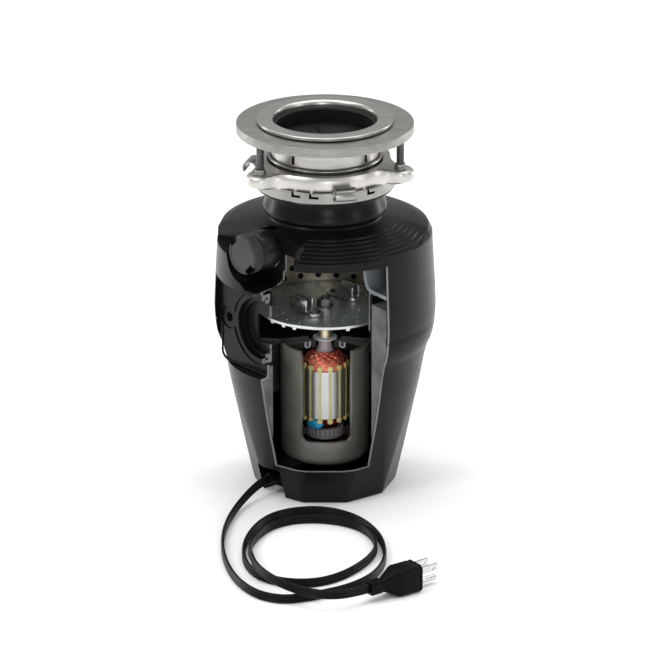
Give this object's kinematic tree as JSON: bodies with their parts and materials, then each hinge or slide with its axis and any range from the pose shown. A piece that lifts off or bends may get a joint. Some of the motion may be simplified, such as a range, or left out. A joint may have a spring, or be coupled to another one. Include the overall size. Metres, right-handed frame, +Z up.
{
  "type": "kitchen garbage disposal",
  "caption": "Cut-away kitchen food waste disposer with sink mount, grinding turntable, motor, dishwasher inlet, discharge port, flat cord and plug.",
  "frame": {"origin": "centre of the base, on the surface it stands on", "axes": "+Z up along the motor shaft towards the sink flange, -Y towards the cut-away front, +X to the right seen from the front"},
  "size_m": [0.187, 0.3775, 0.3255],
  "materials": {
    "satin_nickel": "satin",
    "bright_steel": "bright",
    "screw_steel": "black oxide",
    "black_rubber": "matt",
    "housing_black": "satin moulded",
    "inner_black": "moulded",
    "foam_grey": "open-cell foam",
    "hopper_grey": "moulded",
    "ring_steel": "worn",
    "table_steel": "rolled",
    "brass_sleeve": "satin",
    "white_plastic": "moulded",
    "mauve_collar": "satin",
    "bronze": "sintered",
    "can_paint": "satin",
    "ferrite": "matt",
    "core_steel": "laminated",
    "liner_yellow": "fish paper",
    "copper_top": "enamelled wire",
    "copper_bottom": "enamelled wire",
    "putty_blue": "putty",
    "commutator_grey": "moulded",
    "phenolic": "pressed",
    "carbon": "carbon",
    "button_red": "moulded",
    "cord_black": "satin",
    "blade_steel": "nickel plated"
  },
  "bodies": {
    "housing": {"sink_flange": "satin_nickel", "flange_gasket": "black_rubber", "backup_ring": "satin_nickel", "snap_ring": "bright_steel", "mounting_ring": "satin_nickel", "screw_collars": "bright_steel", "mount_gasket": "black_rubber", "upper_housing": "housing_black", "lower_housing": "housing_black", "seam_gasket": "black_rubber", "insulation": "foam_grey", "hopper": "hopper_grey", "grind_ring": "ring_steel", "grind_ring_gasket": "black_rubber", "drain_chamber": "inner_black", "upper_bearing": "bronze", "bearing_retainer": "white_plastic", "upper_end_frame": "inner_black", "motor_can": "can_paint", "magnet_left": "ferrite", "magnet_right": "ferrite", "brush_plate": "phenolic", "brushes": "carbon", "brush_springs": "bright_steel", "lower_bearing": "bronze", "inlet_nipple": "inner_black", "discharge_port": "inner_black", "discharge_gasket": "black_rubber", "base_plate": "inner_black", "housing_screws": "bright_steel", "overload_protector": "inner_black", "strain_relief": "cord_black", "power_cord": "cord_black", "plug_body": "cord_black", "plug_blades": "blade_steel", "ground_pin": "blade_steel"},
    "rotor": {"turntable": "table_steel", "lug_rivets": "bright_steel", "hub_nut": "bright_steel", "motor_shaft": "bright_steel", "shaft_sleeve": "brass_sleeve", "slinger_washer": "white_plastic", "shaft_collar": "mauve_collar", "armature_core": "core_steel", "slot_liners": "liner_yellow", "winding_top": "copper_top", "winding_bottom": "copper_bottom", "balancing_putty": "putty_blue", "commutator": "commutator_grey"},
    "mount_screw_1": {"mount_screw_1": "screw_steel"},
    "mount_screw_2": {"mount_screw_2": "screw_steel"},
    "mount_screw_3": {"mount_screw_3": "screw_steel"},
    "lock_ring": {"lock_ring": "bright_steel"},
    "splash_guard": {"splash_guard": "black_rubber"},
    "lug_a": {"lug_a": "bright_steel"},
    "lug_b": {"lug_b": "bright_steel"},
    "inlet_cap": {"inlet_cap": "inner_black"},
    "reset_button": {"reset_button": "button_red"}
  },
  "joints": [
    {"name": "rotor_spin", "type": "hinge", "parent": "housing", "child": "rotor", "pos_m": [0, 0, 0.1], "axis": [0, 0, 1], "continuous": true},
    {"name": "lug_a_swivel", "type": "hinge", "parent": "rotor", "child": "lug_a", "pos_m": [-0.00801, -0.02652, 0.16], "axis": [0, 0, 1], "range_deg": [-20, 200]},
    {"name": "lug_b_swivel", "type": "hinge", "parent": "rotor", "child": "lug_b", "pos_m": [0.00801, 0.02652, 0.16], "axis": [0, 0, 1], "range_deg": [-20, 200]},
    {"name": "lock_ring_turn", "type": "hinge", "parent": "housing", "child": "lock_ring", "pos_m": [0, 0, 0.272], "axis": [0, 0, 1], "range_deg": [-25, 25]},
    {"name": "splash_guard_lift", "type": "slide", "parent": "housing", "child": "splash_guard", "axis": [0, 0, 1], "range_m": [0, 0.06]},
    {"name": "inlet_cap_pull", "type": "slide", "parent": "housing", "child": "inlet_cap", "axis": [-0.7547, -0.6561, 0], "range_m": [0, 0.025]},
    {"name": "reset_button_press", "type": "slide", "parent": "housing", "child": "reset_button", "axis": [0, 0, 1], "range_m": [0, 0.003], "stiffness_N_per_m": 150, "springref_m": -0.001},
    {"name": "mount_screw_1_travel", "type": "slide", "parent": "housing", "child": "mount_screw_1", "axis": [0, 0, -1], "range_m": [0, 0.01]},
    {"name": "mount_screw_2_travel", "type": "slide", "parent": "housing", "child": "mount_screw_2", "axis": [0, 0, -1], "range_m": [0, 0.01]},
    {"name": "mount_screw_3_travel", "type": "slide", "parent": "housing", "child": "mount_screw_3", "axis": [0, 0, -1], "range_m": [0, 0.01]}
  ]
}
